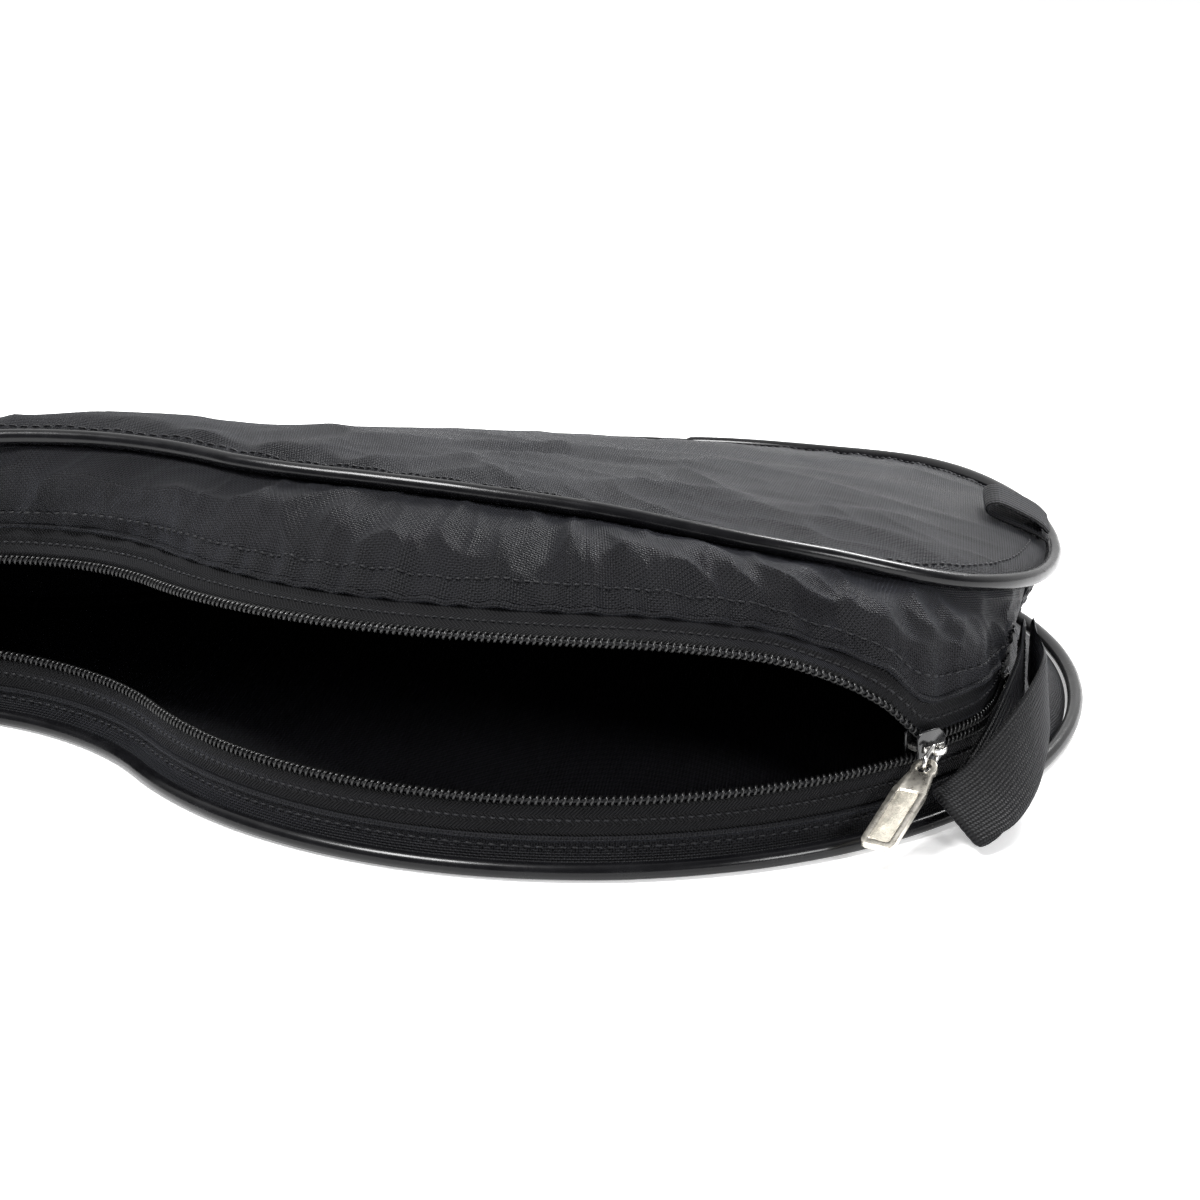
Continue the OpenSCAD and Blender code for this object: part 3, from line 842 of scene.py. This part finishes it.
def strip_row(name, surface, t, ss, flip):
    """A row of stitches along a surface at a fixed t."""
    parts = []
    for a, b in zip(ss, ss[1:]):
        p, q = surface(a, t), surface(a + (b - a) * STITCH_SHARE, t)
        out = (q - p).cross(surface(a, t + 0.02) - p)
        if out.length >= 1e-9:
            out = out.normalized() * flip
            parts.append(stitch(p + out * THREAD_LIFT, q + out * THREAD_LIFT, out))
    place(joined(name, parts), THREAD, "shell", "shell_fabric")


hem_ss = spaced(ZIP_START + 2, ZIP_END - 2, 3.0)
sewn_ss = spaced(ZIP_START + 3, ZIP_END - 3, 2.4)
strip_row("upper_hem_stitches", strip_surface, 0.83, hem_ss, 1)
strip_row("lower_hem_stitches", skirt_surface, 0.22, hem_ss, 1)
strip_row("upper_tape_stitches", upper_tape, 0.66, sewn_ss, 1)
strip_row("lower_tape_stitches", lower_tape, 0.66, sewn_ss, -1)


# ---- overlapped ends of the plain wall, with two rows of stitches each ----
def tab_surface(s, t):
    p = wall_surface(s, 0.03 + 0.94 * t)
    edge = 0.1 * rough(s / 3, t * 5, 4.4)
    return p + outward(s) * (0.95 + edge)


def seam_tab(name, start, node):
    ss, ts = spaced(start, start + 8, 0.8), steps(30)
    obj = sheet_grid(name, tab_surface, ss, ts, 0.8, True)
    place(obj, SHELL, "shell", "shell_fabric", node)
    rows = []
    for off in (1.6, 6.4):
        tt = spaced(0.03, 0.97, 1 / 14)
        for a, b in zip(tt, tt[1:]):
            p = tab_surface(start + off, a)
            q = tab_surface(start + off, a + (b - a) * STITCH_SHARE)
            rows.append(stitch(p, q, outward(start + off), 0.2))
    place(joined(name + "_stitches", rows), THREAD, "shell", "shell_fabric")


seam_tab("tip_seam_cover", ZIP_START - 9, "tip_seam_tab")
seam_tab("heel_seam_cover", ZIP_END + 1, "heel_seam_tab")


# ---- hard parts ----
def bevelled(obj, width, segments=2, angle=40):
    m = obj.modifiers.new("edge", "BEVEL")
    m.width = width * MM
    m.segments = segments
    m.limit_method = "ANGLE"
    m.angle_limit = math.radians(angle)
    return applied(obj)


def prism(outline, low, high):
    """(verts, faces) of an outline in X and Y, drawn out from low to high."""
    n = len(outline)
    verts = [Vector((x, y, low)) for x, y in outline] + [Vector((x, y, high)) for x, y in outline]
    faces = [tuple(range(n))[::-1], tuple(range(n, 2 * n))]
    faces += [(k, (k + 1) % n, n + (k + 1) % n, n + k) for k in range(n)]
    return verts, faces


def moved(part, matrix):
    return [matrix @ v for v in part[0]], part[1]


def box_part(x0, x1, y0, y1, z0, z1):
    return prism([(x0, y0), (x1, y0), (x1, y1), (x0, y1)], z0, z1)


def stop(name, s, node):
    nx, ny = plan(s)[2:]
    where = Matrix.Translation(at(s, zip_inset(s), ZIP_Z)) @ Matrix.Rotation(math.atan2(ny, nx), 4, "Z")
    parts = [moved(box_part(-1.6, 1.6, -1.9 + k * 1.3, -0.7 + k * 1.3, -2.6, 2.6), where) for k in range(3)]
    obj = bevelled(joined(name, parts), 0.3)
    place(obj, NICKEL, "shell", "nickel", node)


stop("tip_stop_clamp", ZIP_START + 12, "zip_tip_stop")
stop("heel_stop_clamp", ZIP_END - 12, "zip_heel_stop")

ON_SLIDER = (Matrix.Translation((HEAD_X, 0, ZIP_Z)) @ Matrix.Rotation(-SLIDER_AT / HEAD_R, 4, "Z")
             @ Matrix.Translation((HEAD_R - ZIP_IN, 0, 0)))
PLATE_IN, PLATE_T, PLATE_H, PLATE_L, RIM_IN = 1.8, 0.9, 4.9, 5.0, 1.0
BRIDGE_X, BRIDGE_R, BRIDGE_BORE, BRIDGE_W = 4.45, 2.6, 1.7, 1.7
LINK_R, WIRE_R, LINK_L, TAB_W, TAB_T, TAB_BORE, TAB_TOP, PULL_L = 2.6, 0.6, 8.0, 9.0, 1.8, 1.9, 3.4, 33.0
ON_LINK = (ON_SLIDER @ Matrix.Translation((BRIDGE_X, 0, 0)) @ Matrix.Rotation(math.radians(-71), 4, "Z")
           @ Matrix.Rotation(math.radians(22), 4, "Y"))
TO_YZ = Matrix(((0, 0, 1, 0), (1, 0, 0, 0), (0, 1, 0, 0), (0, 0, 0, 1)))


def waisted_plate():
    """Half outline of the slider's plate: wide at the mouth end, pinched at the other."""
    side = [(-PLATE_L, 0.0), (-PLATE_L, PLATE_H - 1.5), (-PLATE_L + 0.5, PLATE_H - 0.5),
            (-PLATE_L + 1.5, PLATE_H), (0.5, PLATE_H), (PLATE_L - 2.5, PLATE_H - 0.2),
            (PLATE_L - 0.6, PLATE_H - 1.9), (PLATE_L, PLATE_H - 2.6)]
    return side[1:] + [(x, -y) for x, y in side[:0:-1]]


def slider_parts():
    parts = []
    for side in (-1, 1):
        x = side * (PLATE_IN + PLATE_T / 2)
        parts.append(moved(prism(waisted_plate(), x - PLATE_T / 2, x + PLATE_T / 2), TO_YZ))
        a, b = sorted((side * RIM_IN, side * PLATE_IN))
        parts.append(box_part(a, b, -PLATE_L + 1.5, PLATE_L - 2.5, -PLATE_H, 0.7 - PLATE_H))
    parts.append(box_part(-PLATE_IN, PLATE_IN, 0.6 - PLATE_L, 2.8 - PLATE_L, -0.8, 0.8))
    return [moved(p, ON_SLIDER) for p in parts]


slider_shell = bevelled(joined("slider_shell", slider_parts()), 0.28)
place(slider_shell, ENAMEL, "slider", "slider_enamel", "slider_body")


ARCH_STEPS = 28


def arch(inner, outer, width):
    """A half ring standing on the slider, with splayed feet."""
    verts, faces = [], []
    for k in range(ARCH_STEPS + 1):
        w = math.pi * (k / ARCH_STEPS - 0.5) * 1.12
        for r in (inner, outer):
            for z in (-width / 2, width / 2):
                verts.append(Vector((BRIDGE_X + r * math.cos(w), r * math.sin(w), z)))
    for k in range(ARCH_STEPS):
        a, b = 4 * k, 4 * k + 4
        faces += [(a, b, b + 1, a + 1), (a + 2, a + 3, b + 3, b + 2),
                  (a, a + 2, b + 2, b), (a + 1, b + 1, b + 3, a + 3)]
    faces += [(0, 1, 3, 2), (4 * ARCH_STEPS, 4 * ARCH_STEPS + 2, 4 * ARCH_STEPS + 3, 4 * ARCH_STEPS + 1)]
    return verts, faces


def bridge_parts():
    base = PLATE_IN + PLATE_T
    feet = box_part(base, base + 0.9, -3.6, 3.6, -BRIDGE_W / 2, BRIDGE_W / 2)
    return [moved(p, ON_SLIDER) for p in (arch(BRIDGE_BORE, BRIDGE_R, BRIDGE_W), feet)]


place(bevelled(joined("slider_arch", bridge_parts()), 0.22), NICKEL, "slider", "nickel", "slider_bridge")


def link_path():
    """The wire ring's middle line, in its own frame."""
    pts = []
    for start, x in ((math.pi / 2, LINK_R), (-math.pi / 2, LINK_L - LINK_R)):
        for k in range(24):
            w = start + math.pi * k / 23
            pts.append(Vector((x + LINK_R * math.cos(w), 0, LINK_R * math.sin(w))))
    return [ON_LINK @ p for p in pts]


def ring_cord(name, path, radius, sides):
    curve_data = bpy.data.curves.new(name, "CURVE")
    curve_data.dimensions = "3D"
    line = curve_data.splines.new("POLY")
    line.points.add(len(path) - 1)
    for point, p in zip(line.points, path):
        point.co = (*(p * MM), 1)
    line.use_cyclic_u = True
    curve_data.bevel_depth = radius * MM
    curve_data.bevel_resolution = sides
    obj = bpy.data.objects.new(name, curve_data)
    bpy.context.scene.collection.objects.link(obj)
    obj = applied(obj)
    for poly in obj.data.polygons:
        poly.use_smooth = True
    return obj


place(ring_cord("pull_ring", link_path(), WIRE_R, 5), NICKEL, "link", "nickel", "pull_link")


ON_TAB = ON_LINK @ Matrix.Translation((LINK_L, 0, 0))
TAB_END, SHOULDER_X = PULL_L - TAB_TOP, 9
FIELD_SIDE, FIELD_DEPTH = 1.6, 0.35


def tab_outline():
    end, half = TAB_END, TAB_W / 2
    pts = [(end - 1.6, -half), (end - 0.5, -half + 0.5), (end, -half + 1.6)]
    pts += [(x, -y) for x, y in pts[::-1]]
    for k in range(15):
        w = math.radians(62 + (298 - 62) * k / 14)
        pts.append((TAB_TOP * math.cos(w), TAB_TOP * math.sin(w)))
    pts.insert(6, (SHOULDER_X, half))
    pts.append((SHOULDER_X, -half))
    return pts


def rounded(x0, x1, y0, y1, r):
    pts = []
    corners = ((x1 - r, y1 - r, 0), (x0 + r, y1 - r, 90), (x0 + r, y0 + r, 180), (x1 - r, y0 + r, 270))
    for cx, cy, start in corners:
        for k in range(5):
            w = math.radians(start + 22.5 * k)
            pts.append((cx + r * math.cos(w), cy + r * math.sin(w)))
    return pts


def tab_cutters():
    """The round eye and the sunk field, as solids to take away from the tab."""
    turns = [2 * math.pi * k / 32 for k in range(32)]
    eye_hole = prism([(TAB_BORE * math.cos(w), TAB_BORE * math.sin(w)) for w in turns], -3, 3)
    side = TAB_W / 2 - FIELD_SIDE
    outline = rounded(SHOULDER_X, TAB_END - 2, -side, side, 0.8)
    field = prism(outline, TAB_T / 2 - FIELD_DEPTH, 3)
    return [joined("cut_hole", [moved(eye_hole, ON_TAB)]), joined("cut_field", [moved(field, ON_TAB)])]


def tab_mesh():
    """The tab: its upper face has a sunk field, and a round eye near its upper end."""
    obj = joined("pull_plate", [moved(prism(tab_outline(), -TAB_T / 2, TAB_T / 2), ON_TAB)])
    cutters = tab_cutters()
    for cutter in cutters:
        m = obj.modifiers.new("cut", "BOOLEAN")
        m.object = cutter
        m.operation = "DIFFERENCE"
        m.solver = "EXACT"
    obj = applied(obj)
    for cutter in cutters:
        bpy.data.objects.remove(cutter)
    return bevelled(obj, 0.3, 3, 50)


place(tab_mesh(), TAB_METAL, "tab", "tab_metal", "pull_tab")
sand_outline = rounded(9.15, TAB_END - 2.15, 1.75 - TAB_W / 2, TAB_W / 2 - 1.75, 0.7)
sand = joined("pull_plate_field", [moved(prism(sand_outline, TAB_T / 2 - 0.5, TAB_T / 2 - 0.31), ON_TAB)])
place(bevelled(sand, 0.05, 1), TAB_SAND, "tab", "tab_metal")


# ---- webbing loops ----
def smooth_points(points, count):
    """Catmull-Rom curve through points of any size."""
    out = []
    n = len(points) - 1
    for i in range(count + 1):
        x = n * i / count
        k = min(int(x), n - 1)
        t = x - k
        p = [points[min(max(k + d, 0), n)] for d in (-1, 0, 1, 2)]
        out.append([0.5 * (2 * b + (c - a) * t + (2 * a - 5 * b + 4 * c - d) * t * t
                           + (3 * b - a - 3 * c + d) * t ** 3) for a, b, c, d in zip(*p)])
    return out


def ribbon(name, frames, width, thick, across=18):
    """A woven band along frames of (middle, width direction); its edges are rounded."""
    half = []
    for k in range(across + 1):
        y = -0.5 + k / across
        edge = 1 - abs(2 * y) ** 8
        half.append((y * width, max(edge, 0.0) ** 0.5 * thick / 2 * (0.94 + 0.06 * math.cos(k * math.pi))))
    ring = half + [(y, -z) for y, z in half[::-1]]
    verts, uvs = [], []
    along = 0.0
    for i, (p, w) in enumerate(frames):
        a, b = frames[max(i - 1, 0)][0], frames[min(i + 1, len(frames) - 1)][0]
        t = (b - a).normalized()
        out = t.cross(w).normalized()
        if i:
            along += (p - frames[i - 1][0]).length
        for y, z in ring:
            verts.append(p + w * y + out * z)
            uvs.append((along * MM, y * MM))
    return new_object(name, verts, tube_faces(len(frames), len(ring)), uvs)


CARRY_W, HANG_W, WEB_T = 20.0, 20.0, 1.6
TACK_STEP, TACK_END = 1.1, 1
# Carry loop: place along the outline, distance out, height, tilt in degrees
CARRY_PATH = [(45, -10, 27, 0), (55, -7.5, 27, 0), (66, -3, 25, 6), (78, 1, 20, 16), (90, 5.5, 14, 32),
              (102, 9.5, 8.5, 50), (110, 11, 6.4, 60), (114.5, 12.4, 7.4, 61), (110, 13, 9, 60),
              (102, 13, 11.5, 50), (90, 11.5, 17, 32), (78, 8.5, 22, 16), (66, 4, 26, 6),
              (55, -3.5, 27.5, 1), (45, -7.4, 27.5, 0)]
# Hanging loop: distance in from the outline, height above the seam
HANG_PATH = [(9, 5), (12, 6.8), (18, 9.4), (23, 11.4), (26, 13.2), (26, 15), (23, 15.6), (18, 13.6),
             (12, 10.4), (9, 7.6)]


def carry_frames():
    frames = []
    for s, out, z, tilt in smooth_points(CARRY_PATH, 90):
        nx, ny = plan(s)[2:]
        w = math.radians(tilt)
        frames.append((at(s, -out, z), Vector((-math.sin(w) * nx, -math.sin(w) * ny, math.cos(w)))))
    return frames


def bar_tack(name, frames, index, width, thick, body):
    """Zigzag stitches across a band at one of its frames."""
    p, w = frames[index]
    t = (frames[index + 1][0] - p).normalized()
    out = t.cross(w).normalized()
    parts = []
    for side in (-1, 1):
        off = out * side * (thick / 2 + 0.02)
        for k in range(int(width / TACK_STEP)):
            y = -width / 2 + TACK_END + k * TACK_STEP
            if y > width / 2 - TACK_END:
                continue
            near, far = (1.2, -0.2) if k % 2 else (-0.2, 1.2)
            a = p + w * y + t * near + off
            b = p + w * (y + TACK_STEP) + t * far + off
            parts.append(stitch(a, b, out * side, 0.22))
    place(joined(name, parts), THREAD, body, "webbing")


carry = carry_frames()
place(ribbon("carry_webbing", carry, CARRY_W, WEB_T), WEB, "carry", "webbing", "carry_loop")
bar_tack("carry_tack", carry, 9, CARRY_W, WEB_T, "carry")
seam_z = curve(TOP_Z, 0)
hang = [(at(0, inset, seam_z + up), Vector((0, 1, 0))) for inset, up in smooth_points(HANG_PATH, 60)]
place(ribbon("hang_webbing", hang, HANG_W, WEB_T), WEB, "hanger", "webbing", "hang_loop")
bar_tack("hang_tack", hang, 5, HANG_W, WEB_T, "hanger")


# ---- the shell's cloth is cut at this sloping plane, and the part above it is kept as a piece of its own ----
SAG_POINT = Vector((0, -98, 21.5)) * MM
SAG_NORMAL = Vector((0, -0.31, 1)).normalized()


def half_mesh(obj, upper):
    """The part of a piece above or below the plane, closed where it was cut."""
    bm = bmesh.new()
    bm.from_mesh(obj.data)
    everything = bm.verts[:] + bm.edges[:] + bm.faces[:]
    bmesh.ops.bisect_plane(bm, geom=everything, dist=1e-8, plane_co=SAG_POINT, plane_no=SAG_NORMAL,
                           clear_inner=upper, clear_outer=not upper)
    rim = [e for e in bm.edges if e.is_boundary]
    bmesh.ops.holes_fill(bm, edges=rim, sides=0)
    for e in rim:
        e.smooth = False
    mesh = bpy.data.meshes.new(obj.name)
    bm.to_mesh(mesh)
    bm.free()
    for mat in obj.data.materials:
        mesh.materials.append(mat)
    return mesh


def sag(obj):
    heights = [(v.co - SAG_POINT).dot(SAG_NORMAL) for v in obj.data.vertices]
    if max(heights) < 1e-5:
        return
    top = obj
    if min(heights) < -1e-5:
        top = obj.copy()
        top.name = obj.name + "_upper"
        top.data = half_mesh(obj, True)
        bpy.context.scene.collection.objects.link(top)
        obj.data = half_mesh(obj, False)
    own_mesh(top)


for piece in list(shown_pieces()):
    still = piece.name.startswith(("lower_", "base_", "tip_stop", "heel_stop"))
    if piece.get("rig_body") == "shell" and not still:
        sag(piece)


# ---- floor, light and camera ----
def stage_floor():
    bpy.ops.mesh.primitive_plane_add(size=12, location=(0, 0, -0.0002))
    plane = bpy.context.object
    plane.name = "stage_floor"
    mat, tree, shader = material("stage_white", (0.9, 0.9, 0.9), 0.6, specular=0.2)
    shader.inputs["Emission Color"].default_value = (1, 1, 1, 1)
    shader.inputs["Emission Strength"].default_value = 0.42
    plane.data.materials.append(mat)


def area_light(name, spot, target, size, power):
    data = bpy.data.lights.new(name, "AREA")
    data.shape = "DISK"
    data.size = size
    data.energy = power
    lamp = bpy.data.objects.new(name, data)
    lamp.location = spot
    lamp.rotation_euler = (Vector(target) - Vector(spot)).to_track_quat("-Z", "Y").to_euler()
    bpy.context.scene.collection.objects.link(lamp)


stage_floor()
world = bpy.data.worlds.new("white_room")
world.use_nodes = True
sky = world.node_tree.nodes["Background"]
coord = node(world.node_tree, "ShaderNodeTexCoord")
toward = node(world.node_tree, "ShaderNodeSeparateXYZ", [(coord.outputs["Generated"], 0)])
glow = ramp_color(world.node_tree, toward.outputs["Y"], 0.0, 0.45, (0.2, 0.2, 0.21), (1, 1, 1))
world.node_tree.links.new(glow, sky.inputs["Color"])
sky.inputs["Strength"].default_value = 1.0
bpy.context.scene.world = world
area_light("key_light", (-0.45, -0.35, 1.2), (0, 0, 0), 0.5, 26)
area_light("rim_light", (0.6, 0.8, 0.9), (0, 0, 0.03), 0.5, 16)
area_light("side_light", (0.9, -0.7, 0.45), (0.1, 0, 0.03), 0.3, 6)

camera = bpy.data.cameras.new("camera")
camera.lens = 78
camera.sensor_width = 36
eye = bpy.data.objects.new("camera", camera)
pitch = math.radians(18.8)
look = Vector((-0.1045 * math.cos(pitch), 0.9945 * math.cos(pitch), -math.sin(pitch)))
eye.location = (0.1784, -0.7188, 0.270)
eye.rotation_euler = look.to_track_quat("-Z", "Y").to_euler()
bpy.context.scene.collection.objects.link(eye)
bpy.context.scene.camera = eye
bpy.context.scene.view_settings.view_transform = "Standard"
